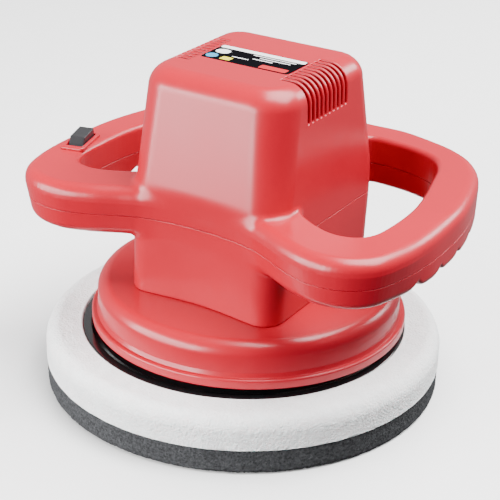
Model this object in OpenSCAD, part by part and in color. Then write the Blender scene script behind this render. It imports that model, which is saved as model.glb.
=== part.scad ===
// Dual action polisher: a vertical motor in a square cap with two loop handles drives
// an offset pin, which carries a freely turning backing plate and its foam pad.
// The origin is on the motor axis at the working face of the pad, with +Z up.

/* [Foam pad] */
// Diameter of the foam pad
pad_d = 240; // [238:1:242]
// Thickness of the dark working layer
grey_h = 15; // [12:1:17]
// Height of the top of the white foam
white_top = 35.3; // [35:0.1:35.6]
// Radius of the rounded upper edge of the white foam
white_round = 9; // [5:1:9]
// Offset of the pad's axis from the motor axis
orbit = 3.5; // [3:0.1:4]

/* [Backing plate] */
// Diameter of the backing plate
plate_d = 195.2; // [190:0.2:196]
// Height of the top of the backing plate's edge
plate_top = 34.6; // [34:0.1:35]
// Number of stiffening ribs on the plate
plate_ribs = 12; // [6:1:16]

/* [Base skirt] */
// Diameter of the lower lip
lip_d = 189.4; // [188:0.2:190]
// Diameter of the wall above the groove
skirt_d = 182; // [180:0.2:184]
// Height of the bottom of the lip
skirt_bottom = 39.9; // [39.5:0.1:40.5]
// Height of the top of the skirt
skirt_top = 66; // [65:0.5:66]
// Radius of the skirt's upper edge
skirt_round = 8; // [5:1:9]

/* [Housing] */
// Half width of the cap at the parting line
cap_x = 51.3; // [50:0.1:52]
// Distance from the motor axis to the front face at the parting line
cap_front = 59.5; // [58:0.5:60]
// Distance from the motor axis to the back face at the parting line
cap_back = 66.5; // [65:0.5:67]
// Height of the parting line
split_z = 114; // [113:0.5:115]
// Height of the top of the cap
cap_top = 200; // [198:1:202]
// Radius of the cap's upright corners
corner_r = 20; // [16:1:21]
// Wall thickness of the housing
wall = 3; // [2.5:0.1:3]

/* [Handles] */
// Height of the top of the handles
ring_top = 131; // [130:0.5:132]
// Height of the underside of the handles
ring_bottom = 100; // [99:0.5:101]
// Depth of the finger scallops under the grips
scallop = 4.5; // [2:0.5:5]
// Number of finger scallops under each grip
scallops = 4; // [3:1:4]
// Distance between finger scallops
scallop_pitch = 21; // [20:0.5:22]

/* [Vents] */
// Number of vent slots on each side of the cap
vents = 10; // [4:1:10]
// Distance between vent slots
vent_pitch = 4.6; // [4.4:0.1:4.8]
// Width of a vent slot
vent_w = 2.2; // [1.5:0.1:2.5]

/* [Switch] */
// Position of the switch along the handles
switch_x = -111; // [-112:0.5:-110]
// Position of the switch along the grip
switch_y = -19; // [-20:0.5:-18]
// Turn of the switch about the vertical
switch_turn = 16; // [12:1:18]

/* [Motor] */
// Height of the stator's lower face
stator_z = 108; // [108:0.5:109]
// Length of the stator stack
stator_h = 40; // [36:1:40]
// Radius of the armature core
armature_r = 22.5; // [21:0.5:22.5]
// Number of fan blades
fan_blades = 11; // [7:2:13]
// Radius of the cooling fan
fan_r = 38; // [34:1:38]

/* [Hidden] */
$fn = 96;

red = [0.80, 0.09, 0.08];
black = [0.04, 0.04, 0.045];
steel = [0.62, 0.63, 0.65];

// Foot of the column, where it stands on the skirt
foot_x = 50;
foot_front = 57;
foot_back = 60;

// The cap leans inward from the parting line to its top
draft_x = 3.5;
draft_front = 11;
draft_back = 15.5;
cap_round = 10;

// Right half of the outside of the handle ring, from the back round to the front
ring_half = [[20, 117.5], [42, 118], [64, 112.8], [82, 106], [97, 95.5], [109, 79],
             [118, 54], [124, 27], [126, 0], [126, -24], [123.5, -46], [117, -64.5],
             [103, -76], [84, -79], [64, -73], [45, -63.5], [20, -54.5]];
// The right window, from the front of the body round the grip to the back
window_half = [[26, -14], [50, -30], [66, -40], [80, -45], [92, -42.5], [98.5, -33],
               [100.5, -14], [100, 8], [96.5, 29], [91, 50], [85, 70], [76, 83],
               [60, 89.5], [43, 92], [29, 91], [25, 78], [25, 30]];

// Where the fixings of the housing go up into the upper shell
handle_fixings = [[108, -47], [99, 68], [32, 103]];
column_fixings = [[34, -51.5], [34, 57]];
foot_fixings = [[32, -40], [32, 44]];
clamp_x = 8;
clamp_y = 78;
bracket_x = 36;
through_x = 38;
fixing_floor = ring_bottom + 4;
column_floor = 96;

// Closed smooth curve through a list of points, n steps between neighbours
function curve_at(a, b, c, d, t) =
    0.5 * ((2 * b) + (c - a) * t + (2 * a - 5 * b + 4 * c - d) * t * t
           + (3 * b - a - 3 * c + d) * t * t * t);
function smooth_loop(p, n = 5) =
    [for (i = [0 : len(p) - 1], k = [0 : n - 1])
        curve_at(p[(i + len(p) - 1) % len(p)], p[i], p[(i + 1) % len(p)],
                 p[(i + 2) % len(p)], k / n)];
function mirrored(p) = [for (i = [len(p) - 1 : -1 : 0]) [-p[i][0], p[i][1]]];
// The outline p moved by d to its right, which is into the ring for both kinds of loop
function inset(p, d) =
    [for (i = [0 : len(p) - 1])
        let (a = p[(i + len(p) - 1) % len(p)], b = p[(i + 1) % len(p)], t = b - a)
            p[i] + d * [t[1], -t[0]] / norm(t)];

ring_outer = smooth_loop(concat(ring_half, mirrored(ring_half)), 4);
window_loop = mirrored(smooth_loop(window_half, 4));

// ---------------------------------------------------------------- shared shapes

module rounded_plate(x0, x1, y0, y1, r, z, h) {
    translate([0, 0, z])
        linear_extrude(h)
            union() {
                translate([x0 + r, y0]) square([x1 - x0 - 2 * r, y1 - y0]);
                translate([x0, y0 + r]) square([x1 - x0, y1 - y0 - 2 * r]);
                for (x = [x0 + r, x1 - r], y = [y0 + r, y1 - r])
                    translate([x, y]) circle(r, $fn = 64);
            }
}

module ring_slab(z, h, inward = 0) {
    translate([0, 0, z])
        linear_extrude(h)
            difference() {
                polygon(inset(ring_outer, inward));
                polygon(inset(window_loop, inward));
                mirror([1, 0]) polygon(inset(window_loop, inward));
            }
}

module tube(r_out, r_in, z, h) {
    translate([0, 0, z])
        difference() {
            cylinder(h, r_out, r_out);
            translate([0, 0, -1]) cylinder(h + 2, r_in, r_in);
        }
}

module both_sides() {
    children();
    mirror([1, 0, 0]) children();
}

// Rectangle with round corners as a list of points, anticlockwise
function rounded_outline(x0, x1, y0, y1, r, n = 8) =
    [for (c = [[x1 - r, y1 - r, 0], [x0 + r, y1 - r, 90], [x0 + r, y0 + r, 180],
               [x1 - r, y0 + r, 270]], k = [0 : n])
        [c[0] + r * cos(c[2] + 90 * k / n), c[1] + r * sin(c[2] + 90 * k / n)]];

// Closed solid through outlines of equal length at rising heights
module loft(outlines, heights) {
    n = len(outlines[0]);
    top = len(outlines) - 1;
    points = [for (i = [0 : top], p = outlines[i]) [p[0], p[1], heights[i]]];
    walls = [for (i = [0 : top - 1], k = [0 : n - 1], half = [0, 1])
        let (a = i * n + k, b = i * n + (k + 1) % n)
            half == 0 ? [a, b + n, b] : [a, a + n, b + n]];
    ends = [[for (k = [0 : n - 1]) k], [for (k = [n - 1 : -1 : 0]) top * n + k]];
    polyhedron(points, concat(walls, ends), convexity = 4);
}

// Solid form of the cap, smaller all round by the given amount
module cap_form(less) {
    steps = 6;
    edge = cap_round - less;
    foot = less > 0 ? split_z - 1 : split_z;
    crown = cap_top - less;
    bends = [for (i = [0 : steps]) 90 * i / steps];
    cuts = concat([0], [for (a = bends) edge * (1 - cos(a))]);
    heights = concat([foot], [for (a = bends) crown - edge + edge * sin(a)]);
    loft([for (i = [0 : len(cuts) - 1])
             let (lean = min((heights[i] - split_z) / (cap_top - split_z), 0.87),
                  cut = less + cuts[i])
                 rounded_outline(-cap_x + draft_x * lean + cut, cap_x - draft_x * lean - cut,
                                 -cap_front + draft_front * lean + cut,
                                 cap_back - draft_back * lean - cut,
                                 corner_r - less - cuts[i] * 0.6)],
         heights);
}

module bolt(r, length, head_r, head_h) {
    union() {
        cylinder(length, r, r, $fn = 32);
        translate([0, 0, length]) cylinder(head_h, head_r, head_r, $fn = 32);
    }
}

module at_fixings(places) {
    for (p = places, side = [1, -1])
        translate([side * p[0], p[1], 0]) children();
}

module at_corners(x, y) {
    at_fixings([[x, y], [x, -y]]) children();
}

// Round wire wound into a helix along +Z
module coil_spring(r, wire, length, turns) {
    steps = 14;
    sides = 6;
    n = turns * steps;
    points = [for (i = [0 : n], k = [0 : sides - 1])
        let (a = 360 * i / steps, b = 360 * k / sides, out = r + wire * cos(b))
            [out * cos(a), out * sin(a), length * i / n + wire * sin(b)]];
    walls = [for (i = [0 : n - 1], k = [0 : sides - 1])
        let (a = i * sides + k, b = i * sides + (k + 1) % sides)
            [a, a + sides, b + sides, b]];
    ends = [[for (k = [0 : sides - 1]) k],
            [for (k = [sides - 1 : -1 : 0]) n * sides + k]];
    polyhedron(points, concat(walls, ends), convexity = 10);
}

// ---------------------------------------------------------------- housing

module vent_cuts() {
    both_sides()
        for (i = [0 : vents - 1])
            translate([0, (i - (vents - 1) / 2) * vent_pitch - vent_w / 2, 0])
                translate([30, 0, 177])
                    cube([30, vent_w, 30]);
}

module upper_housing() {
    color(red)
    difference() {
        union() {
            difference() {
                union() {
                    cap_form(0);
                    ring_slab(split_z, ring_top - 6 - split_z);
                    ring_slab(ring_top - 6, 3, 0.8);
                    ring_slab(ring_top - 3, 2, 2.6);
                    ring_slab(ring_top - 1, 1, 5);
                    rounded_plate(-26, 26, 40, 100, 8, split_z, ring_top - split_z);
                }
                cap_form(wall);
                ring_pocket(split_z - 1, ring_top - wall);
                rear_pocket(split_z - 1, ring_top - wall);
            }
            at_fixings(handle_fixings) tube(5, 1.95, split_z, ring_top - split_z - 1);
            at_fixings(column_fixings) tube(5, 1.95, split_z, 18);
            rear_walls(split_z, ring_top - split_z - 1);
        }
        vent_cuts();
        gland_bore();
        switch_opening();
        rounded_plate(-29.2, 29.2, -13.2, 13.2, 2, cap_top - 0.6, 2);
    }
}

// The hollow of the handles between two heights, with a wall left all round
module ring_pocket(z0, z1) {
    translate([0, 0, z0])
        linear_extrude(z1 - z0)
            difference() {
                polygon(inset(ring_outer, wall));
                polygon(inset(window_loop, wall));
                mirror([1, 0]) polygon(inset(window_loop, wall));
                translate([-cap_x, -cap_front]) square([2 * cap_x, cap_front + cap_back]);
                translate([-23, 40]) square([46, 90]);
            }
}

// The hollow of the bridge behind the body, where the cord comes in
module rear_pocket(z0, z1) {
    translate([-20, cap_back, z0]) cube([40, 114 - cap_back, z1 - z0]);
}

// Cross walls that stiffen the bridge
module rear_walls(z, h) {
    for (x = [-16, 13])
        translate([x, cap_back - 1, z]) cube([3, 50, h]);
}

module gland_bore() {
    translate([0, 105, split_z])
        rotate([-90, 0, 0]) cylinder(20, 6.5, 6.5);
}

module in_switch_frame() {
    translate([switch_x, switch_y, ring_top])
        rotate([0, 0, switch_turn])
            children();
}

module switch_opening() {
    in_switch_frame()
        translate([-6.2, -12.7, -10]) cube([12.4, 25.4, 12]);
}

module lower_housing() {
    floor_z = skirt_top;
    color(red)
    difference() {
        union() {
            difference() {
                union() {
                    column_form(0);
                    ring_slab(ring_bottom + 4, split_z - ring_bottom - 4);
                    ring_slab(ring_bottom + 1.5, 2.5, 1.2);
                    ring_slab(ring_bottom, 1.5, 3);
                    rounded_plate(-26, 26, 40, 100, 8, ring_bottom, split_z - ring_bottom);
                }
                column_form(wall);
                ring_pocket(ring_bottom + scallop + wall, split_z + 1);
                rear_pocket(ring_bottom + wall, split_z + 1);
                scallop_cuts();
            }
            at_fixings(handle_fixings) tube(5.5, 2.2, fixing_floor, split_z - fixing_floor);
            at_fixings(column_fixings) tube(5, 2.2, column_floor, split_z - column_floor);
            at_fixings(foot_fixings) tube(5, 1.95, floor_z, 12);
            at_fixings([[bracket_x, 0]]) tube(5, 1.95, floor_z + 7, 14);
            both_sides()
                translate([40.4, -1.2, floor_z + 7]) cube([8, 2.4, 14]);
            at_fixings([[clamp_x, clamp_y]]) tube(3.4, 1.5, ring_bottom + 1, 16.5);
            rear_walls(ring_bottom + 1, split_z - ring_bottom - 1);
        }
        at_fixings(handle_fixings)
            translate([0, 0, ring_bottom - 1]) cylinder(5, 4, 4);
        at_fixings(handle_fixings)
            translate([0, 0, ring_bottom - 1]) cylinder(14, 2.2, 2.2);
        at_fixings(column_fixings)
            translate([0, 0, floor_z - 1]) cylinder(5, 4.2, 4.2);
        at_fixings(foot_fixings)
            translate([0, 0, floor_z - 1]) cylinder(5, 1.95, 1.95);
        translate([0, 0, floor_z - 1]) cylinder(5, 40, 40);
        gland_bore();
    }
}

// Solid form of the column, smaller all round by the given amount
module column_form(less) {
    top = less > 0 ? split_z + 1 : split_z;
    loft([rounded_outline(-foot_x + less, foot_x - less, -foot_front + less,
                          foot_back - less, corner_r - 3 - less),
          rounded_outline(-cap_x + less, cap_x - less, -cap_front + less, cap_back - less,
                          corner_r - less)],
         [skirt_top + less, top]);
}

module scallop_cuts() {
    r = (scallop_pitch * scallop_pitch / 4 + scallop * scallop) / (2 * scallop);
    both_sides()
        for (i = [0 : scallops - 1])
            translate([90, 17.5 + (i - (scallops - 1) / 2) * scallop_pitch,
                       ring_bottom + scallop - r])
                rotate([0, 90, 0]) cylinder(45, r, r);
}

module base_skirt() {
    lip_r = lip_d / 2;
    wall_r = skirt_d / 2;
    inner = wall_r - wall;
    round_steps = 8;
    color(red)
    difference() {
        union() {
            rotate_extrude()
                polygon(concat(
                    [[40, skirt_top - wall], [inner - 4, skirt_top - wall],
                     [inner, skirt_top - wall - 5], [inner, skirt_bottom],
                     [lip_r - 1, skirt_bottom], [lip_r, skirt_bottom + 1],
                     [lip_r, 45], [lip_r - 1, 46], [wall_r + 0.8, 46],
                     [wall_r + 0.4, 47.6], [wall_r, 48.4]],
                    [for (i = [0 : round_steps])
                        let (a = 90 * i / round_steps)
                            [wall_r - skirt_round + skirt_round * cos(a),
                             skirt_top - skirt_round + skirt_round * sin(a)]],
                    [[40, skirt_top]]));
            for (a = [22.5 : 45 : 359])
                rotate([0, 0, a])
                    translate([58, -1, skirt_top - wall - 8]) cube([28, 2, 8.5]);
            at_fixings(foot_fixings) tube(5, 2.2, skirt_top - wall - 4, 4.5);
        }
        at_fixings(foot_fixings)
            translate([0, 0, skirt_top - 10]) cylinder(12, 2.2, 2.2);
    }
}

module rating_label() {
    color("black")
        rounded_plate(-28.6, 28.6, -12.6, 12.6, 2, cap_top - 0.6, 0.7);
}

// ---------------------------------------------------------------- switch

module switch_bezel() {
    color(red)
        in_switch_frame()
            difference() {
                union() {
                    rounded_plate(-7.3, 7.3, -15, 15, 1.5, 0.02, 2);
                    rounded_plate(-6.1, 6.1, -12.6, 12.6, 1, -5, 5.1);
                }
                rounded_plate(-5.3, 5.3, -11.6, 11.6, 0.6, -6, 9);
            }
}

// Rocker turned by its pin through the middle of its length
module rocker_button() {
    color(black)
        in_switch_frame()
            union() {
                rotate([90, 0, 90])
                    translate([0, 0, -4.7])
                        linear_extrude(9.4)
                            polygon([[-9.9, 0.4], [-8.4, 0.9], [-5.2, 5.6], [-1.5, 5.7], [9.8, 6.3],
                                 [10.2, 4.8], [9.9, 0.4], [4, -2], [-4, -2]]);
                rotate([0, 90, 0]) translate([0, 0, -5]) cylinder(10, 1.5, 1.5);
            }
}

module switch_body() {
    color(black)
        in_switch_frame()
            union() {
                difference() {
                    rounded_plate(-5.8, 5.8, -11.8, 11.8, 0.8, -16, 10.8);
                    translate([-5, -10.9, -9]) cube([10, 21.8, 6]);
                }
                for (y = [-8, 0, 8])
                    translate([-2.4, y - 0.4, -22]) cube([4.8, 0.8, 6.2]);
            }
}

// ---------------------------------------------------------------- fixings and inlet

module housing_screws() {
    color("silver") {
        at_fixings(handle_fixings)
            translate([0, 0, fixing_floor + 18]) rotate([180, 0, 0]) bolt(1.85, 18, 3.6, 2);
        at_fixings(column_fixings)
            translate([0, 0, column_floor + 30]) rotate([180, 0, 0]) bolt(1.85, 30, 3.2, 2);
    }
}

module skirt_screws() {
    color("silver")
        at_fixings(foot_fixings)
            translate([0, 0, skirt_top + 9]) rotate([180, 0, 0]) bolt(1.85, 16.2, 3.8, 2.2);
}

module cord_gland() {
    color(black)
        translate([0, 0, split_z])
            rotate([-90, 0, 0])
                rotate_extrude()
                    polygon([[3.75, 106], [8, 106], [8, 112.5], [6.4, 112.5], [6.4, 118.3],
                             [8.4, 118.3], [8.4, 119.2], [7.6, 119.8], [3.75, 119.8]]);
}

module cord_clamp() {
    color(black)
        difference() {
            rounded_plate(-12, 12, clamp_y - 4, clamp_y + 4, 2, split_z + 3.6, 3.6);
            at_fixings([[clamp_x, clamp_y]])
                translate([0, 0, split_z]) cylinder(12, 1.7, 1.7);
        }
}

module cord_clamp_screws() {
    color("silver")
        at_fixings([[clamp_x, clamp_y]])
            translate([0, 0, split_z - 5]) bolt(1.45, 12.3, 2.9, 1.8);
}

module capacitor() {
    color("gold")
        union() {
            rounded_plate(-9, 9, -51, -44.5, 1, 114, 26);
            for (x = [-6, 6])
                translate([x, -47.8, 108]) cylinder(6.5, 0.5, 0.5, $fn = 24);
        }
}

// ---------------------------------------------------------------- motor

module stator_core() {
    color(steel)
        difference() {
            rounded_plate(-43, 43, -43, 43, 7, stator_z, stator_h);
            difference() {
                rounded_plate(-36, 36, -34, 34, 6, stator_z - 1, stator_h + 2);
                both_sides() {
                    translate([25, -12, stator_z - 1]) cube([14, 24, stator_h + 2]);
                    pole_shoe();
                }
            }
            at_corners(through_x, through_x)
                translate([0, 0, stator_z - 1]) cylinder(stator_h + 2, 2.2, 2.2);
        }
}

module pole_shoe() {
    translate([0, 0, stator_z - 1])
        intersection() {
            difference() {
                cylinder(stator_h + 2, 28, 28);
                cylinder(stator_h + 2, 23.2, 23.2);
            }
            linear_extrude(stator_h + 2)
                polygon([[0, 0], [40, -44], [40, 44]]);
        }
}

module field_coils() {
    color("peru")
        both_sides()
            difference() {
                translate([29, -21, stator_z - 4.6]) cube([6.4, 42, stator_h + 9.2]);
                translate([28, -12.3, stator_z - 0.5]) cube([9, 24.6, stator_h + 1]);
            }
}

module upper_bracket() {
    z = 172;
    color("gainsboro")
        difference() {
            union() {
                difference() {
                    rounded_plate(-43, 43, -43, 43, 9, z, 3);
                    both_sides()
                        translate([28, 0, z - 1]) cylinder(5, 9, 9);
                }
                translate([0, 0, z]) cylinder(13, 15, 15);
                at_corners(through_x, through_x)
                    translate([0, 0, stator_z + stator_h])
                        cylinder(z - stator_z - stator_h + 1, 4.5, 4.5);
            }
            translate([0, 0, z - 1]) cylinder(2.5, 8, 8);
            translate([0, 0, z + 1.5]) cylinder(20, 11, 11);
            at_corners(through_x, through_x)
                translate([0, 0, stator_z + stator_h - 1]) cylinder(40, 2.2, 2.2);
        }
}

module lower_bracket() {
    color("gainsboro")
        difference() {
            union() {
                rounded_plate(-42, 42, -43, 43, 9, 87, 3);
                translate([0, 0, 76]) cylinder(14, 19, 19);
                at_corners(through_x, through_x)
                    translate([0, 0, 83]) cylinder(stator_z - 83, 4.5, 4.5);
            }
            translate([0, 0, 75]) cylinder(5, 10, 10);
            translate([0, 0, 80]) cylinder(20, 14, 14);
            at_corners(through_x, through_x)
                translate([0, 0, 80]) cylinder(40, 2.2, 2.2);
            at_fixings([[bracket_x, 0]])
                translate([0, 0, 80]) cylinder(20, 2.2, 2.2);
        }
}

module motor_screws() {
    color("silver")
        at_corners(through_x, through_x)
            translate([0, 0, 84]) bolt(2.1, 91, 4, 2.6);
}

module bracket_screws() {
    color("silver")
        at_fixings([[bracket_x, 0]])
            translate([0, 0, 74]) bolt(1.85, 16, 3.4, 2.2);
}

// Ball bearing seen as its rings, with the shields let in between them
module bearing(r_out, r_in, z, h) {
    land = (r_out - r_in) * 0.26;
    rotate_extrude()
        polygon([[r_in, z], [r_in + land, z], [r_in + land, z + 0.5],
                 [r_out - land, z + 0.5], [r_out - land, z], [r_out, z],
                 [r_out, z + h], [r_out - land, z + h], [r_out - land, z + h - 0.5],
                 [r_in + land, z + h - 0.5], [r_in + land, z + h], [r_in, z + h]]);
}

module upper_bearing() {
    color("silver") bearing(11, 4.05, 173.5, 7);
}

module lower_bearing() {
    color("silver") bearing(14, 6.05, 80, 8);
}

module brush_holders() {
    color("saddlebrown")
        for (side = [0, 180])
            rotate([0, 0, side])
                difference() {
                    union() {
                        translate([-5.5, 16, 156.5]) cube([11, 20, 9]);
                        translate([-8, 24, 165]) cube([16, 10, 7]);
                    }
                    translate([-3.1, 10, 158]) cube([6.2, 24.5, 6]);
                }
}

module carbon_brushes() {
    color(black)
        for (side = [0, 180])
            rotate([0, 0, side])
                translate([-3, 12.4, 158.1]) cube([6, 13, 5.8]);
}

module brush_springs() {
    color("silver")
        for (side = [0, 180])
            rotate([0, 0, side])
                translate([0, 25.8, 161])
                    rotate([-90, 0, 0]) coil_spring(2.2, 0.35, 8.2, 5);
}

module motor_shaft() {
    color("silver")
        union() {
            translate([0, 0, 60.5]) cylinder(111, 6, 6);
            translate([0, 0, 171]) cylinder(11.5, 4, 4);
        }
}

module armature_core() {
    slots = 12;
    color(steel)
        difference() {
            tube(armature_r, 6, stator_z + 1, stator_h - 2);
            for (i = [0 : slots - 1])
                rotate([0, 0, 360 * i / slots])
                    translate([armature_r - 2.5, -1, stator_z]) cube([4, 2, stator_h]);
        }
}

module armature_windings() {
    color("peru")
        rotate_extrude() {
            polygon([[8, 103.6], [17, 103.6], [20, 106], [20, 109], [8, 109]]);
            polygon([[8, 147], [20, 147], [20, 150], [17, 153], [8, 153]]);
        }
}

module commutator() {
    bars = 24;
    color("goldenrod")
        difference() {
            tube(12, 6, 154, 16);
            for (i = [0 : bars - 1])
                rotate([0, 0, 360 * i / bars])
                    translate([11.2, -0.25, 153]) cube([2, 0.5, 18]);
        }
}

module cooling_fan() {
    color("dimgray")
        difference() {
            union() {
                translate([0, 0, 101]) cylinder(1.8, fan_r, fan_r);
                translate([0, 0, 93.5]) cylinder(9, 11, 11);
                for (i = [0 : fan_blades - 1])
                    rotate([0, 0, 360 * i / fan_blades])
                        translate([16, -0.8, 94]) cube([fan_r - 16.5, 1.6, 7.5]);
            }
            translate([0, 0, 90]) cylinder(20, 6, 6);
        }
}

// ---------------------------------------------------------------- eccentric and pad

module eccentric_hub() {
    color("dimgray")
        difference() {
            union() {
                translate([0, 0, 58]) cylinder(16, 13, 13);
                translate([-orbit, 0, 56.4]) cylinder(3, 8, 8);
                translate([-orbit, 0, 37.9]) cylinder(20, 6, 6);
            }
            translate([0, 0, 60.5]) cylinder(20, 6, 6);
            translate([-orbit, 0, 36]) cylinder(18, 3, 3, $fn = 48);
            translate([0, 0, 67]) rotate([0, 90, 0]) cylinder(20, 2.5, 2.5, $fn = 48);
        }
}

module counterweight() {
    color("dimgray")
        difference() {
            union() {
                tube(17, 13, 62, 10);
                intersection() {
                    tube(36, 13, 62, 10);
                    translate([5, -40, 60]) cube([40, 80, 20]);
                }
            }
            translate([0, 0, 67]) rotate([0, 90, 0]) cylinder(50, 2.5, 2.5, $fn = 48);
        }
}

module set_screw() {
    color("silver")
        translate([6.1, 0, 67])
            rotate([0, 90, 0])
                difference() {
                    cylinder(12, 2.45, 2.45, $fn = 48);
                    translate([0, 0, 9]) cylinder(4, 1.3, 1.3, $fn = 6);
                }
}

module pad_bearings() {
    color("silver")
        translate([-orbit, 0, 0]) {
            bearing(14, 6.05, 38, 8);
            bearing(14, 6.05, 48, 8);
        }
}

module bearing_spacer() {
    color(steel)
        translate([-orbit, 0, 0]) tube(13.98, 11.5, 46, 2);
}

module retaining_ring() {
    color("silver")
        translate([-orbit, 0, 0])
            difference() {
                tube(14.8, 12, 56, 1.2);
                translate([-2, 8, 55]) cube([4, 8, 4]);
            }
}

module retaining_washer() {
    color("silver")
        translate([-orbit, 0, 0]) tube(9, 3.05, 35.9, 1.9);
}

module pad_bolt() {
    color("silver")
        translate([-orbit, 0, 50])
            rotate([180, 0, 0])
                difference() {
                    bolt(2.95, 14.1, 5.5, 4.2);
                    translate([0, 0, 16]) cylinder(4, 2.6, 2.6, $fn = 6);
                }
}

module backing_plate() {
    edge = plate_d / 2;
    foot = 29;
    color(black)
        translate([-orbit, 0, 0])
            difference() {
                union() {
                    rotate_extrude()
                        polygon([[12, foot], [edge - 1, foot], [edge, foot + 1],
                                 [edge, plate_top - 1.2], [edge - 1.2, plate_top],
                                 [edge - 5, plate_top], [edge - 8, plate_top - 1.4],
                                 [22, plate_top - 1.4], [19, 40], [19, 57.5], [12, 57.5]]);
                    for (i = [0 : plate_ribs - 1])
                        rotate([0, 0, 360 * i / plate_ribs])
                            translate([18, -1.2, plate_top - 2]) cube([58, 2.4, 6]);
                }
                translate([0, 0, 38]) cylinder(30, 14, 14);
                translate([0, 0, 56]) cylinder(1.2, 14.8, 14.8);
            }
}

module white_foam() {
    r = pad_d / 2;
    lip = plate_d / 2 + 0.2;
    steps = 8;
    color("whitesmoke")
        translate([-orbit, 0, 0])
            difference() {
                rotate_extrude()
                    polygon(concat([[0, grey_h], [r, grey_h]],
                                   [for (i = [0 : steps])
                                       let (a = 90 * i / steps)
                                           [r - white_round + white_round * cos(a),
                                            white_top - white_round + white_round * sin(a)]],
                                   [[0, white_top]]));
                translate([0, 0, 29]) cylinder(20, lip, lip);
            }
}

module grey_foam() {
    r = pad_d / 2 - 0.4;
    color([0.16, 0.16, 0.17])
        translate([-orbit, 0, 0])
            rotate_extrude()
                polygon([[0, 0], [r - 1.5, 0], [r, 1.5], [r, grey_h], [0, grey_h]]);
}

upper_housing();
lower_housing();
base_skirt();
rating_label();
switch_bezel();
rocker_button();
switch_body();
housing_screws();
skirt_screws();
cord_gland();
cord_clamp();
cord_clamp_screws();
capacitor();
stator_core();
field_coils();
upper_bracket();
lower_bracket();
motor_screws();
bracket_screws();
upper_bearing();
lower_bearing();
brush_holders();
carbon_brushes();
brush_springs();
motor_shaft();
armature_core();
armature_windings();
commutator();
cooling_fan();
eccentric_hub();
counterweight();
set_screw();
pad_bearings();
bearing_spacer();
retaining_ring();
retaining_washer();
pad_bolt();
backing_plate();
white_foam();
grey_foam();
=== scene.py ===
import math
import bmesh
import bpy
import numpy as np
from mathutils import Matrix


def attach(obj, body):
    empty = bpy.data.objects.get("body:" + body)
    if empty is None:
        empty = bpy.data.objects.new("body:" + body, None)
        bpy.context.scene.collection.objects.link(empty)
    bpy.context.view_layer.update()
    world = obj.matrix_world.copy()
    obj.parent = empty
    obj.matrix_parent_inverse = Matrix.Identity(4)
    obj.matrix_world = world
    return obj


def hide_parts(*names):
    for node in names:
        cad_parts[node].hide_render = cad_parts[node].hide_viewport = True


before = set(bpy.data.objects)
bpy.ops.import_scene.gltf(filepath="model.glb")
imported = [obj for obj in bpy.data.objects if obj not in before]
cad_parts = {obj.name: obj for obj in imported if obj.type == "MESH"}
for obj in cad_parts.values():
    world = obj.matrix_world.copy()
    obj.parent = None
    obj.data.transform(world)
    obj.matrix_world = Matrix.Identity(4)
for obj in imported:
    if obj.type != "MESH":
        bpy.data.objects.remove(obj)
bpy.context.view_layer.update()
import openvdb
from mathutils import Matrix, Vector

MM = 0.001

# ------------------------------------------------------------------ driving sizes, in mm
SPLIT_Z = 114.0          # parting plane of the housing
RING_TOP = 131.0
RING_MID = 122.0         # the handles are widest here
RING_BOTTOM = 100.0
DRAFT = 0.03
CAP_TOP = 199.4          # the label's foot
WALL = 3.0
ORBIT = 3.5              # the pad's axis is this far to the switch side
VENTS = 10
VENT_PITCH = 4.6
VENT_W = 2.2
VENT_FROM_X, VENT_FROM_Z = 30.0, 177.5
LABEL_X, LABEL_Y, LABEL_GAP = 28.55, 12.55, 0.25
SWITCH_X, SWITCH_Y, SWITCH_TURN = -111.0, -19.0, 16.0
GRIP_FROM = 88.0         # the grips lie further out than this
SEAM = 0.05              # half the gap between the housing halves
BODY_FOOT = 66.0
BODY_TOP = 200.0
GLAND_R = 6.5
GLAND_FROM = 105.0       # the gland lies behind this
BOSS_R, GRIP_BOSS_R = 5.0, 6.5
PILOT_R, CLEAR_R, HEAD_R = 1.95, 2.2, 4.0     # holes for a screw's thread, shank and head
HEAD_SEAT = 104.0
MOTOR_HOLE_R, MOTOR_HOLE_TOP = 40.0, 72.0
SWITCH_HOLE = (6.2, 12.7)                     # half sizes across and along the switch
BEZEL_HALF, NECK_HALF, KEY_HOLE = (7.25, 15.0), (6.1, 12.6), (5.25, 11.5)
FOAM_SHOWS_FROM = 99.0   # radius inside which the foam is covered by the plate

RING_HALF = [(20, 117.5), (42, 118), (64, 112.8), (82, 106), (97, 95.5), (109, 79),
             (118, 54), (124, 27), (126, 0), (126, -24), (123.5, -46), (117, -64.5),
             (103, -76), (84, -79), (64, -73), (45, -63.5), (20, -54.5)]
WINDOW_HALF = [(26, -14), (50, -30), (66, -40), (80, -45), (92, -42.5), (98.5, -33),
               (100.5, -14), (100, 8), (96.5, 29), (91, 50), (85, 70), (76, 83),
               (60, 89.5), (43, 92), (29, 91), (25, 78), (25, 30)]


# ------------------------------------------------------------------ shapes as distance fields
def smooth_loop(points, n=6):
    """Closed smooth curve through the points, n steps between neighbours."""
    p = np.array(points, float)
    a, b, c, d = np.roll(p, 1, 0), p, np.roll(p, -1, 0), np.roll(p, -2, 0)
    t = (np.arange(n) / n)[None, :, None]
    a, b, c, d = (q[:, None, :] for q in (a, b, c, d))
    curve = 0.5 * (2 * b + (c - a) * t + (2 * a - 5 * b + 4 * c - d) * t ** 2
                   + (3 * b - a - 3 * c + d) * t ** 3)
    return curve.reshape(-1, 2)


def mirrored(points):
    return [(-x, y) for x, y in reversed(points)]


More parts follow.
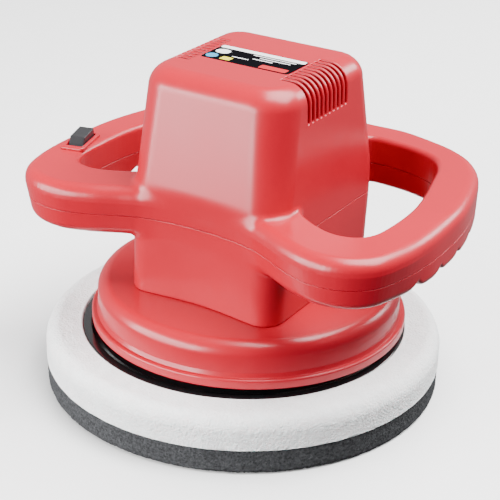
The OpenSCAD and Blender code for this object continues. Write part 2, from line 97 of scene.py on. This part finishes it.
def loop_distance(x, y, loop):
    """Signed distance in the plane to a closed outline, negative inside."""
    best = np.full(x.shape, 1e9)
    inside = np.zeros(x.shape, bool)
    for (ax, ay), (bx, by) in zip(loop, np.roll(loop, -1, 0)):
        ex, ey = bx - ax, by - ay
        px, py = x - ax, y - ay
        t = np.clip((px * ex + py * ey) / (ex * ex + ey * ey), 0, 1)
        np.minimum(best, (px - t * ex) ** 2 + (py - t * ey) ** 2, out=best)
        if ay != by:
            crosses = ((ay > y) != (by > y)) & (px < ex * py / ey)
            inside ^= crosses
    best = np.sqrt(best)
    return np.where(inside, -best, best).astype(np.float32)


def smooth_min(a, b, k):
    h = np.maximum(k - np.abs(a - b), 0) / k
    return np.minimum(a, b) - h * h * k * 0.25


def smooth_max(a, b, k):
    return -smooth_min(-a, -b, k)


def round_max(a, b, r):
    """Intersection of two fields whose meeting edge is rounded to radius r."""
    u, v = np.maximum(a + r, 0), np.maximum(b + r, 0)
    return np.minimum(np.maximum(a, b), -r) + np.sqrt(u * u + v * v)


def profile(z, points, blur=5.0):
    """Value at height z of a profile through (height, value) points, with its bends eased."""
    heights, values = zip(*points)
    steps = np.linspace(-blur, blur, 9)
    weights = 1 - (steps / (blur * 1.2)) ** 2
    total = sum(w * np.interp(z + s, heights, values) for s, w in zip(steps, weights))
    return total / weights.sum()


def ease(value, low, high):
    t = np.clip((value - low) / (high - low), 0, 1)
    return t * t * (3 - 2 * t)


HALF_X = [(66, 50.2), (114, 51), (131, 50.8), (190, 48.2), (210, 47.3)]
FRONT_Y = [(66, 57.5), (114, 57.5), (131, 58.3), (190, 50), (210, 47.2)]
BACK_Y = [(66, 60), (114, 64), (131, 64.5), (190, 52.5), (210, 48.4)]
FRONT_R = [(66, 13.5), (114, 17), (131, 20), (190, 22), (210, 22)]
BACK_R = [(66, 15), (131, 18), (190, 17), (210, 17)]
CAP_ROUND = 11.5


def body_field(x, y, z):
    """The square column and cap as one form, leaning in towards the top."""
    hx, yf, yb = profile(z, HALF_X), profile(z, FRONT_Y), profile(z, BACK_Y)
    rf, rb = profile(z, FRONT_R), profile(z, BACK_R)
    hollow = 4.0 * np.cos(np.clip(x / 50, -1, 1) * math.pi / 2) ** 2
    hollow = hollow * ease(-y, 5, 40) * (1 - ease(z, 112, 138))
    yy = y - hollow
    r = np.where(yy < 0, rf, rb)
    qx = np.abs(x) - hx + r
    qy = np.where(yy < 0, -yy - yf, yy - yb) + r
    side = (np.minimum(np.maximum(qx, qy), 0) - r
            + np.sqrt(np.maximum(qx, 0) ** 2 + np.maximum(qy, 0) ** 2))
    top = round_max(side, z - BODY_TOP, CAP_ROUND)
    return round_max(top, BODY_FOOT - z, 0.8)


def ring_field(outer, window, z, lean):
    """The two loop handles as one slab with rounded edges and two windows."""
    side = outer + DRAFT * np.abs(z - RING_MID) + lean * (RING_MID - np.minimum(z, RING_MID))
    slab = round_max(side, z - RING_TOP, 7.0)
    slab = round_max(slab, RING_BOTTOM - z, 6.0)
    return round_max(slab, DRAFT * np.abs(z - SPLIT_Z) - window, 3.2)


def finger_field(x, y, z):
    """Four finger grooves with round lobes between them, under both grips."""
    pitch, first, grooves, soft = 25.0, -28.0, 4, 1.6
    deep = 4.2 + 1.8 * ease(np.abs(x), 108, 123)
    r = (pitch * pitch / 4 + deep * deep) / (2 * deep)
    lobe = np.clip(np.round((y - first) / pitch + 0.5), 0, grooves)
    to_groove = np.clip(pitch / 2 - np.abs(y - first - (lobe - 0.5) * pitch), 0, pitch / 2)
    eased = np.sqrt(to_groove ** 2 + soft ** 2) - soft * (1 - 2 * to_groove / pitch)
    along = pitch / 2 - eased
    along = np.where((y < first - pitch / 2) | (y > first + (grooves - 0.5) * pitch), 0, along)
    field = np.hypot(along, np.minimum(z - RING_BOTTOM - r, 0)) - r
    return np.minimum(field, np.abs(x) - GRIP_FROM)


def vent_field(x, y, z):
    """The vent slots over both side edges of the cap."""
    place = (y / VENT_PITCH + (VENTS - 1) / 2)
    nearest = np.clip(np.round(place), 0, VENTS - 1)
    across = np.abs(place - nearest) * VENT_PITCH - VENT_W / 2
    ends = np.maximum(VENT_FROM_X - np.abs(x), VENT_FROM_Z - z)
    return round_max(across, ends, 0.9)


def grid_line(*spans):
    """Grid positions: (start, end, spacing) spans joined end to end."""
    parts = [np.arange(a, b - step * 0.5, step) for a, b, step in spans]
    return np.concatenate(parts + [[spans[-1][1]]])


# ------------------------------------------------------------------ the housing as a field
HANDLE_FIXINGS = [(108, -47), (99, 68), (32, 103)]
COLUMN_FIXINGS = [(34, -51.5), (34, 57)]
FOOT_FIXINGS = [(32, -40), (32, 44)]
BRACKET_FIXINGS = [(36, 0)]
RING = smooth_loop(RING_HALF + mirrored(RING_HALF))
WINDOW = smooth_loop(WINDOW_HALF)


def housing_form(x, y, z):
    """Body and handles as one solid form, before it is hollowed."""
    flat_x, flat_y = np.broadcast_arrays(x, y)
    outer = loop_distance(flat_x, flat_y, RING)
    window = loop_distance(np.abs(flat_x), flat_y, WINDOW)
    lean = 0.15 * ease(-flat_y, 10, 50)
    form = smooth_min(body_field(x, y, z), ring_field(outer, window, z, lean), 4.5)
    return smooth_max(form, finger_field(x, y, z), 2.0)


def upright(x, y, place, r):
    """Distance to a pair of upright cylinders, one on each side."""
    return np.hypot(np.abs(x) - place[0], y - place[1]) - r


def switch_axes(x, y):
    """Coordinates across and along the switch."""
    c, s = math.cos(math.radians(SWITCH_TURN)), math.sin(math.radians(SWITCH_TURN))
    return c * (x - SWITCH_X) + s * (y - SWITCH_Y), c * (y - SWITCH_Y) - s * (x - SWITCH_X)


def frame_field(u, v, half_u, half_v, r):
    """Distance in the plane to a rectangle with round corners."""
    return round_max(np.abs(u) - half_u, np.abs(v) - half_v, r)


def gland_field(x, y, z):
    """The hole for the cord gland through the rear bridge."""
    return np.maximum(np.hypot(x, z - SPLIT_Z) - GLAND_R, GLAND_FROM - y)


def upper_field(x, y, z):
    """The cap with the top half of the handles: wall, bosses, vents and openings."""
    form = housing_form(x, y, z)
    shell = np.maximum(form, -(form + WALL))
    for place in HANDLE_FIXINGS:
        shell = np.minimum(shell, np.maximum(upright(x, y, place, BOSS_R), form + 1))
        shell = np.maximum(shell, -np.maximum(upright(x, y, place, PILOT_R), z - 126))
    for place in COLUMN_FIXINGS:
        shell = np.minimum(shell, np.maximum(upright(x, y, place, BOSS_R),
                                             np.maximum(z - 132, form + 1)))
        shell = np.maximum(shell, -np.maximum(upright(x, y, place, PILOT_R), z - 130))
    shell = round_max(shell, -vent_field(x, y, z), 0.85)
    shell = np.maximum(shell, -gland_field(x, y, z))
    u, v = switch_axes(x, y)
    shell = np.maximum(shell, -np.maximum(frame_field(u, v, *SWITCH_HOLE, 1), 120 - z))
    label = np.maximum(frame_field(x, y, LABEL_X + LABEL_GAP, LABEL_Y + LABEL_GAP, 2), CAP_TOP - z)
    shell = round_max(shell, -label, 0.3)
    return round_max(shell, SPLIT_Z + SEAM - z, 0.35)


def lower_field(x, y, z):
    """The column with the bottom half of the handles."""
    form = housing_form(x, y, z)
    shell = np.maximum(form, -(form + WALL))
    for place in HANDLE_FIXINGS:
        boss = np.maximum(upright(x, y, place, GRIP_BOSS_R), form)
        shell = np.minimum(shell, boss)
        head = np.maximum(upright(x, y, place, HEAD_R), z - HEAD_SEAT)
        shell = round_max(shell, -np.minimum(head, upright(x, y, place, CLEAR_R)), 0.4)
    for places, bore, low, high in ((COLUMN_FIXINGS, CLEAR_R, 96, 114),
                                    (FOOT_FIXINGS, PILOT_R, 66, 78),
                                    (BRACKET_FIXINGS, PILOT_R, 73, 87)):
        for place in places:
            boss = np.maximum(upright(x, y, place, BOSS_R), np.maximum(low - z, z - high))
            shell = np.minimum(shell, np.maximum(boss, form + 0.5))
            shell = np.maximum(shell, -np.maximum(upright(x, y, place, bore), z - high - 1))
    shell = np.maximum(shell, -np.maximum(np.hypot(x, y) - MOTOR_HOLE_R, z - MOTOR_HOLE_TOP))
    shell = np.maximum(shell, -gland_field(x, y, z))
    return round_max(shell, z - SPLIT_Z + SEAM, 0.35)


def bezel_field(x, y, z):
    """The raised frame round the switch, with its neck down into the grip."""
    u, v = switch_axes(x, y)
    rim = round_max(frame_field(u, v, *BEZEL_HALF, 2.2),
                    np.maximum(z - RING_TOP - 2.0, RING_TOP - 3.5 - z), 1.1)
    flat_x, flat_y = np.broadcast_arrays(x, y)
    outer = loop_distance(flat_x, flat_y, RING)
    window = loop_distance(np.abs(flat_x), flat_y, WINDOW)
    rim = np.maximum(rim, 0.08 - ring_field(outer, window, z, 0))
    neck = np.maximum(frame_field(u, v, *NECK_HALF, 1),
                      np.maximum(z - RING_TOP - 0.8, RING_TOP - 5.0 - z))
    return round_max(np.minimum(rim, neck), -frame_field(u, v, *KEY_HOLE, 0.6), 0.5)


ROCKER = [(-9.9, 0.4), (-8.4, 0.9), (-5.2, 5.6), (-1.5, 5.7), (9.8, 6.3), (10.2, 4.8), (9.9, 0.4),
          (4, -2), (-4, -2)]


def rocker_field(x, y, z):
    """The rocker key with its two pivot pins."""
    u, v = switch_axes(x, y)
    height = z - RING_TOP
    flat_v, flat_h = np.broadcast_arrays(v + 0 * height, height + 0 * v)
    side = loop_distance(flat_v, flat_h, np.array(ROCKER) * [0.97, 0.97]) - 0.15
    key = round_max(side, np.abs(u) - 4.75, 0.8)
    pins = np.maximum(np.hypot(v, height) - 1.5, np.abs(u) - 5.0)
    return np.minimum(key, pins)


# ------------------------------------------------------------------ meshes
def link(name, mesh):
    piece = bpy.data.objects.new(name, mesh)
    bpy.context.scene.collection.objects.link(piece)
    return piece


def gradient(field, points):
    """Unit direction in which a field grows, at each point."""
    ways = np.array([(1, -1, -1), (-1, -1, 1), (-1, 1, -1), (1, 1, 1)], np.float32) * 0.12
    total = sum(field(*(points + way).T)[:, None] * way for way in ways)
    return total / np.maximum(np.linalg.norm(total, axis=1, keepdims=True), 1e-9)


def reduced(piece, faces):
    """The piece's mesh with flat areas collapsed to about this many faces."""
    piece.data.update()
    if len(piece.data.polygons) > faces:
        step = piece.modifiers.new("reduce", "DECIMATE")
        step.ratio = faces / (2 * len(piece.data.polygons))
        graph = bpy.context.evaluated_depsgraph_get()
        mesh = bpy.data.meshes.new_from_object(piece.evaluated_get(graph))
        piece.modifiers.clear()
        old, piece.data = piece.data, mesh
        bpy.data.meshes.remove(old)


def field_piece(name, field, xs, ys, zs, faces=170000):
    """Closed mesh of the zero surface of a field, shaded with the field's own slope."""
    x, y, z = np.meshgrid(xs, ys, zs, indexing="ij", sparse=True)
    values = np.clip(field(x, y, z), -3, 3).astype(np.float32)
    grid = openvdb.FloatGrid(background=3.0)
    grid.copyFromArray(np.ascontiguousarray(values), tolerance=0.0)
    points, tris, quads = grid.convertToPolygons(isovalue=0.0, adaptivity=0.0)
    place = [np.interp(points[:, i], np.arange(len(a)), a) for i, a in enumerate((xs, ys, zs))]
    mesh = bpy.data.meshes.new(name)
    corners = [f[::-1].tolist() for f in tris] + [f[::-1].tolist() for f in quads]
    mesh.from_pydata((np.stack(place, 1) * MM).tolist(), [], corners)
    mesh.update()
    piece = link(name, mesh)
    reduced(piece, faces)
    mesh = piece.data
    mesh.name = name
    work = bmesh.new()
    work.from_mesh(mesh)
    if work.calc_volume(signed=True) < 0:
        bmesh.ops.reverse_faces(work, faces=work.faces)
    work.to_mesh(mesh)
    work.free()
    spots = np.empty(len(mesh.vertices) * 3, np.float32)
    mesh.vertices.foreach_get("co", spots)
    mesh.shade_smooth()
    mesh.normals_split_custom_set_from_vertices(gradient(field, spots.reshape(-1, 3) / MM))
    return piece


def rounded(profile, steps=5):
    """A closed profile of (radius, height, corner radius) with its corners rounded."""
    out = []
    n = len(profile)
    for i, (r, z, bend) in enumerate(profile):
        here = Vector((r, z))
        if not bend:
            out.append(here)
            continue
        back = (Vector(profile[i - 1][:2]) - here).normalized()
        on = (Vector(profile[(i + 1) % n][:2]) - here).normalized()
        half = back.angle(on) / 2
        reach = bend / math.tan(half)
        middle = here + (back + on).normalized() * (bend / math.sin(half))
        a, b = here + back * reach, here + on * reach
        out.append(a + back * min(0.25, reach * 0.3))
        for k in range(steps + 1):
            spot = a.lerp(b, k / steps) - middle
            out.append(middle + spot.normalized() * bend)
        out.append(b + on * min(0.25, reach * 0.3))
    return out


def lathe(name, profile, segments=288, centre=0.0, longest=None):
    """A turned piece: the closed profile swept round an upright axis at x = centre."""
    points = [Vector(p) for p in profile]
    if longest:
        dense = []
        for a, b in zip(points, points[1:] + points[:1]):
            parts = max(1, math.ceil((b - a).length / longest)) if a.x > 60 or b.x > 60 else 1
            dense += [a.lerp(b, k / parts) for k in range(parts)]
        points = dense
    work = bmesh.new()
    rings = []
    for r, z in points:
        if r < 1e-6:
            rings.append([work.verts.new((centre * MM, 0, z * MM))] * segments)
            continue
        turn = [2 * math.pi * i / segments for i in range(segments)]
        rings.append([work.verts.new(((centre + r * math.cos(a)) * MM, r * math.sin(a) * MM,
                                      z * MM)) for a in turn])
    for one, two in zip(rings, rings[1:] + rings[:1]):
        if one[0] == one[1] and two[0] == two[1]:
            continue
        for i in range(segments):
            j = (i + 1) % segments
            face = []
            for vert in (one[i], one[j], two[j], two[i]):
                if vert not in face:
                    face.append(vert)
            work.faces.new(face)
    bmesh.ops.recalc_face_normals(work, faces=work.faces)
    mesh = bpy.data.meshes.new(name)
    work.to_mesh(mesh)
    work.free()
    mesh.shade_smooth()
    return link(name, mesh)


# ------------------------------------------------------------------ materials
def material(name, colour, rough, metal=0.0, coat=0.0, spread=0.06, grain=900.0, bump=0.02,
             wear=0.08, patch=45.0, subsurface=0.0, sheen=0.0, specular=0.5):
    """Principled surface with fine grain, soft patches in its gloss and a slight colour drift."""
    mat = bpy.data.materials.new(name)
    mat.use_nodes = True
    nodes, wires = mat.node_tree.nodes, mat.node_tree.links
    shader = nodes["Principled BSDF"]
    shader.inputs["Metallic"].default_value = metal
    shader.inputs["Coat Weight"].default_value = coat
    shader.inputs["Coat Roughness"].default_value = 0.18
    shader.inputs["Subsurface Weight"].default_value = subsurface
    shader.inputs["Subsurface Radius"].default_value = (0.004, 0.002, 0.002)
    shader.inputs["Sheen Weight"].default_value = sheen
    shader.inputs["Specular IOR Level"].default_value = specular
    where = nodes.new("ShaderNodeTexCoord")

    def noise(scale, detail):
        node = nodes.new("ShaderNodeTexNoise")
        node.inputs["Scale"].default_value = scale
        node.inputs["Detail"].default_value = detail
        wires.new(where.outputs["Object"], node.inputs["Vector"])
        return node.outputs["Fac"]

    def ramp(source, low, high):
        node = nodes.new("ShaderNodeMapRange")
        node.inputs["From Min"].default_value = 0.3
        node.inputs["From Max"].default_value = 0.7
        node.inputs["To Min"].default_value = low
        node.inputs["To Max"].default_value = high
        wires.new(source, node.inputs["Value"])
        return node.outputs["Result"]

    fine, broad = noise(grain, 3), noise(patch, 4)
    drift = nodes.new("ShaderNodeMix")
    drift.data_type = "RGBA"
    drift.inputs["A"].default_value = (*[c * (1 - spread) for c in colour], 1)
    drift.inputs["B"].default_value = (*[min(c * (1 + spread), 1) for c in colour], 1)
    both = nodes.new("ShaderNodeMath")
    both.operation = "MULTIPLY_ADD"
    both.inputs[1].default_value = 0.5
    wires.new(broad, both.inputs[0])
    half = nodes.new("ShaderNodeMath")
    half.operation = "MULTIPLY"
    half.inputs[1].default_value = 0.5
    wires.new(fine, half.inputs[0])
    wires.new(half.outputs[0], both.inputs[2])
    wires.new(ramp(both.outputs[0], 0.0, 1.0), drift.inputs["Factor"])
    wires.new(drift.outputs["Result"], shader.inputs["Base Color"])
    wires.new(ramp(broad, rough * (1 - wear), rough * (1 + wear)), shader.inputs["Roughness"])
    relief = nodes.new("ShaderNodeBump")
    relief.inputs["Strength"].default_value = 1.0
    relief.inputs["Distance"].default_value = bump * MM
    wires.new(fine, relief.inputs["Height"])
    wires.new(relief.outputs["Normal"], shader.inputs["Normal"])
    return mat


def dress(piece, mat):
    """Gives a piece one material in place of any it had."""
    piece.data.materials.clear()
    piece.data.materials.append(mat)


RED = material("red_plastic", (0.42, 0.003, 0.016), 0.30, spread=0.03, bump=0.006)
BLACK = material("black_plastic", (0.016, 0.016, 0.018), 0.30)
GLOSS = material("gloss_black", (0.010, 0.010, 0.011), 0.10, coat=0.5, bump=0.004)
DARK = material("dark_plastic", (0.05, 0.05, 0.055), 0.45)
RUBBER = material("gland_rubber", (0.02, 0.02, 0.02), 0.62, grain=1500, bump=0.05)
WHITE_FOAM = material("white_foam", (0.93, 0.925, 0.93), 0.9, spread=0.10, grain=800, bump=0.8,
                      patch=160, subsurface=0.15, sheen=0.1)
GREY_FOAM = material("grey_foam", (0.046, 0.047, 0.050), 0.9, spread=0.8, grain=900, bump=0.7,
                     patch=500, specular=0.2)
SCREW = material("screw_steel", (0.55, 0.55, 0.56), 0.32, metal=1.0, grain=1800)
BEARING = material("bearing_steel", (0.62, 0.62, 0.64), 0.22, metal=1.0, grain=1800)
LAMINATED = material("laminations", (0.30, 0.30, 0.32), 0.45, metal=0.9, grain=1400, bump=0.04)
ALLOY = material("bracket_alloy", (0.55, 0.56, 0.57), 0.42, metal=1.0, grain=700, bump=0.05)
IRON = material("hub_iron", (0.23, 0.23, 0.24), 0.50, metal=0.9, grain=500, bump=0.06)
WINDING = material("winding_copper", (0.55, 0.22, 0.07), 0.35, metal=0.8, grain=1100, bump=0.1)
COPPER = material("commutator_copper", (0.75, 0.38, 0.20), 0.28, metal=1.0, grain=1500)
CARBON = material("carbon", (0.03, 0.03, 0.032), 0.55, grain=1500)
CASE = material("capacitor_case", (0.62, 0.44, 0.08), 0.40)
FILM = material("label_film", (0.004, 0.004, 0.005), 0.25, grain=1200, bump=0.004,
                specular=0.0)

CARRIED = {
    SCREW: ["housing_screws", "skirt_screws", "cord_clamp_screws", "motor_screws",
            "bracket_screws", "set_screw", "pad_bolt", "retaining_washer", "retaining_ring",
            "brush_springs"],
    BEARING: ["upper_bearing", "lower_bearing", "pad_bearings", "bearing_spacer", "motor_shaft"],
    LAMINATED: ["stator_core", "armature_core"],
    ALLOY: ["upper_bracket", "lower_bracket"],
    IRON: ["eccentric_hub", "counterweight"],
    WINDING: ["field_coils", "armature_windings"],
    COPPER: ["commutator"],
    CARBON: ["carbon_brushes"],
    CASE: ["capacitor"],
    RUBBER: ["cord_gland"],
    BLACK: ["switch_body", "cord_clamp"],
    DARK: ["cooling_fan", "brush_holders"],
}
for mat, names in CARRIED.items():
    for node_name in names:
        dress(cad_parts[node_name], mat)


# ------------------------------------------------------------------ pieces
def place(piece, body, node, slot, mat):
    """Puts a detailed piece on its body in place of its CAD node."""
    dress(piece, mat)
    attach(piece, body)
    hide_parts(node)


upper = field_piece("upper_housing_shell", upper_field,
                    grid_line((-128, 128, 0.8)),
                    grid_line((-79, -24, 0.8), (-24, 24, 0.5), (24, 120, 0.8)),
                    grid_line((113.2, 117.2, 0.2), (117.2, 176, 0.8), (176, 201.5, 0.6)))
place(upper, "housing", "upper_housing", "red_plastic", RED)
lower = field_piece("lower_housing_shell", lower_field,
                    grid_line((-128, 128, 0.8)), grid_line((-79, 121, 0.8)),
                    grid_line((65, 111, 0.8), (111, 115, 0.2)))
place(lower, "housing", "lower_housing", "red_plastic", RED)


def roughen(piece, deep, seed):
    """Fine open-cell relief: every point sinks by a small seeded amount."""
    chance = np.random.default_rng(seed)
    mesh = piece.data
    spots = np.empty(len(mesh.vertices) * 3, np.float32)
    mesh.vertices.foreach_get("co", spots)
    spots = spots.reshape(-1, 3)
    ways = np.array([v.normal for v in mesh.vertices], np.float32)
    sink = chance.random(len(spots)) ** 2 * deep * MM
    waves = np.sin(spots * [410, 530, 620] + [0, 1, 2]).sum(1) / 6 + 0.5
    outward = np.hypot(spots[:, 0] + ORBIT * MM, spots[:, 1]) > FOAM_SHOWS_FROM * MM
    spots -= ways * ((sink + waves * 0.25 * MM) * outward)[:, None]
    mesh.vertices.foreach_set("co", spots.ravel())
    mesh.update()


# The skirt, drawn down its outside and back up its hollow inside
skirt = lathe("base_skirt_shell", rounded([
    (40, 66, 0.6), (91, 66, 8), (91, 48.4, 0.5), (91.9, 46, 0.25), (94.7, 45.9, 1.3),
    (94.7, 39.9, 1.2), (88, 39.9, 0.8), (88, 58, 4), (84, 63, 2), (40, 63, 0.6)], 8))
place(skirt, "housing", "base_skirt", "red_plastic", RED)

plate = lathe("backing_plate_disc", rounded([
    (12, 29, 0), (97.6, 29, 0.9), (97.6, 34.6, 1.1), (92.6, 34.6, 0.8), (89.6, 33.2, 0.8),
    (22, 33.2, 1.5), (19, 40, 0.8), (19, 57.5, 0.8), (14, 57.5, 0), (14, 38, 0), (12, 38, 0)]),
    centre=-ORBIT)
place(plate, "pad", "backing_plate", "black_plastic", GLOSS)

white = lathe("white_foam_ring", rounded([
    (0, 15, 0), (120, 15, 0.4), (120, 35.3, 9), (97.9, 35.3, 0.8), (97.9, 29, 0), (0, 29, 0)], 9),
    segments=720, centre=-ORBIT, longest=1.0)
place(white, "pad", "white_foam", "white_foam", WHITE_FOAM)
roughen(white, 0.35, 4)
grey = lathe("grey_foam_face", rounded([(0, 0, 0), (119.6, 0, 2.2), (119.6, 15, 0.3), (0, 15, 0)]),
             segments=720, centre=-ORBIT, longest=1.0)
place(grey, "pad", "grey_foam", "grey_foam", GREY_FOAM)
roughen(grey, 0.5, 9)

near_switch = [grid_line((-122, -100, 0.25)), grid_line((-36, -2, 0.25))]
bezel = field_piece("switch_bezel_frame", bezel_field, *near_switch,
                    grid_line((125, 134, 0.2)), 60000)
place(bezel, "housing", "switch_bezel", "red_plastic", RED)
rocker = field_piece("rocker_key", rocker_field, *near_switch,
                     grid_line((128, 141, 0.2)), 60000)
place(rocker, "rocker", "rocker_button", "black_plastic", BLACK)


def label_field(x, y, z):
    """The label: a thin plate with round corners, let into the cap's top."""
    return round_max(frame_field(x, y, LABEL_X, LABEL_Y, 2),
                     np.maximum(z - BODY_TOP, CAP_TOP + 0.02 - z), 0.12)


label = field_piece("label_film", label_field, grid_line((-29.4, 29.4, 0.3)),
                    grid_line((-13.4, 13.4, 0.3)), grid_line((199.2, 200.2, 0.05)), 20000)
place(label, "housing", "rating_label", "label_film", FILM)


PRINT_Z = (199.97, 200.04)      # from just inside the film to just above it


def print_on_label(name, mat, x0, x1, y0, y1, r):
    """A thin printed patch with round corners, proud of the label film."""
    arc = [math.radians(15 * k) for k in range(7)]
    turns = [(x1 - r, y1 - r, 0), (x0 + r, y1 - r, 90),
             (x0 + r, y0 + r, 180), (x1 - r, y0 + r, 270)]
    rim = [(cx + r * math.cos(a + math.radians(t)), cy + r * math.sin(a + math.radians(t)))
           for cx, cy, t in turns for a in arc]
    n = len(rim)
    verts = [(x * MM, y * MM, z * MM) for z in PRINT_Z for x, y in rim]
    sides = [(i, (i + 1) % n, n + (i + 1) % n, n + i) for i in range(n)]
    mesh = bpy.data.meshes.new(name)
    mesh.from_pydata(verts, [], [tuple(range(n))[::-1], tuple(range(n, 2 * n))] + sides)
    patch = link(name, mesh)
    dress(patch, mat)
    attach(patch, "housing")


WHITE_INK = material("white_ink", (0.84, 0.84, 0.84), 0.35, spread=0.04, grain=1200, bump=0.003)
BLUE_INK = material("blue_ink", (0.03, 0.28, 0.50), 0.35, spread=0.08, grain=1200, bump=0.003)
YELLOW_INK = material("yellow_ink", (0.75, 0.62, 0.005), 0.35, spread=0.06, grain=1200, bump=0.003)
RED_INK = material("red_ink", (0.50, 0.003, 0.01), 0.35, spread=0.06, grain=1200, bump=0.003)
print_on_label("label_strip", WHITE_INK, -28.0, 28.0, 7.6, 12.0, 1.4)
print_on_label("label_disc", BLUE_INK, -27.4, -20.0, -11.4, -4.0, 3.69)
print_on_label("label_patch", YELLOW_INK, -17.0, -10.2, -11.0, -5.8, 0.6)
print_on_label("label_badge", RED_INK, 9.0, 26.6, -11.6, -6.0, 1.0)
print_on_label("label_emblem", WHITE_INK, -26.6, -17.5, -2.0, 5.4, 3.6)
for row, (start, end) in enumerate(((-13, -2), (-1, 12), (2, 22), (-4, 24))):
    base = -3.9 + 3.0 * row
    print_on_label(f"label_line_{row}", WHITE_INK, start, end, base, base + 1.0, 0.4)

# ------------------------------------------------------------------ stage
floor_mat = material("floor", (0.93, 0.93, 0.93), 0.7, spread=0.005, bump=0.0)
floor_mesh = bpy.data.meshes.new("floor")
HALF_FLOOR, FLOOR_Z = 6, -0.0004
floor_mesh.from_pydata([(x * HALF_FLOOR, y * HALF_FLOOR, FLOOR_Z)
                        for x, y in ((-1, -1), (1, -1), (1, 1), (-1, 1))], [], [(0, 1, 2, 3)])
floor = link("floor", floor_mesh)
dress(floor, floor_mat)
# The floor is left out of reflections and bounce light, as if dark cards lay under the lamps
floor.visible_glossy = False
floor.visible_diffuse = False

# A soft studio, brighter behind and to the left of the object than in front of it
world = bpy.data.worlds.new("studio")
world.use_nodes = True
sky, wires = world.node_tree.nodes, world.node_tree.links
direction = sky.new("ShaderNodeTexCoord")
toward = sky.new("ShaderNodeVectorMath")
toward.operation = "DOT_PRODUCT"
toward.inputs[1].default_value = Vector((-0.70, 0.55, 0.35)).normalized()
wires.new(direction.outputs["Generated"], toward.inputs[0])
level = sky.new("ShaderNodeMapRange")
level.inputs["From Min"].default_value = -0.7
level.inputs["From Max"].default_value = 0.7
level.inputs["To Min"].default_value = 0.12
level.inputs["To Max"].default_value = 0.60
wires.new(toward.outputs["Value"], level.inputs["Value"])
wires.new(level.outputs["Result"], sky["Background"].inputs["Strength"])
sky["Background"].inputs["Color"].default_value = (1, 1, 1, 1)
bpy.context.scene.world = world

KEY = (-0.55, -1.00, 0.20)
AIM = (0, 0, 0.12)


def soft_light(name, where, target, size, watts, aside=(0, 0)):
    """A rectangular lamp aimed at the target, then moved within its own plane."""
    lamp = bpy.data.lights.new(name, "AREA")
    lamp.shape = "RECTANGLE"
    lamp.size, lamp.size_y = size
    lamp.energy = watts
    thing = bpy.data.objects.new(name, lamp)
    turn = (Vector(target) - Vector(where)).to_track_quat("-Z", "Y")
    thing.location = Vector(where) + turn @ Vector((*aside, 0))
    thing.rotation_euler = turn.to_euler()
    thing.visible_camera = False
    bpy.context.scene.collection.objects.link(thing)


# One large lamp in front, with three brighter strips along its top and sides
soft_light("key", KEY, AIM, (0.95, 0.60), 23)
soft_light("key_top", KEY, AIM, (1.13, 0.09), 13, aside=(0, 0.345))
soft_light("key_left", KEY, AIM, (0.09, 0.60), 7, aside=(-0.52, 0))
soft_light("key_right", KEY, AIM, (0.09, 0.60), 7, aside=(0.52, 0))
soft_light("top", (0.75, 0.45, 2.10), (0, 0, 0.1), (2.0, 2.0), 210)
soft_light("fill", (0.75, 1.35, 0.85), AIM, (0.5, 0.5), 16)

AZIMUTH, PITCH, ROLL = math.radians(31.65), math.radians(25.29), 0.024
out = Vector((math.sin(AZIMUTH), -math.cos(AZIMUTH), 0))
forward = -out * math.cos(PITCH) - Vector((0, 0, math.sin(PITCH)))
right = Vector((math.cos(AZIMUTH), math.sin(AZIMUTH), 0))
up = right.cross(forward)
across = right * math.cos(ROLL) + up * math.sin(ROLL)
upward = up * math.cos(ROLL) - right * math.sin(ROLL)
CAMERA_OUT, CAMERA_UP = 0.81064, 0.46394
lens = bpy.data.cameras.new("camera")
lens.lens = 108.05
lens.clip_start = 0.01
camera = bpy.data.objects.new("camera", lens)
turn = Matrix((across, upward, -forward)).transposed().to_4x4()
camera.matrix_world = Matrix.Translation(out * CAMERA_OUT + Vector((0, 0, CAMERA_UP))) @ turn
bpy.context.scene.collection.objects.link(camera)
bpy.context.scene.camera = camera
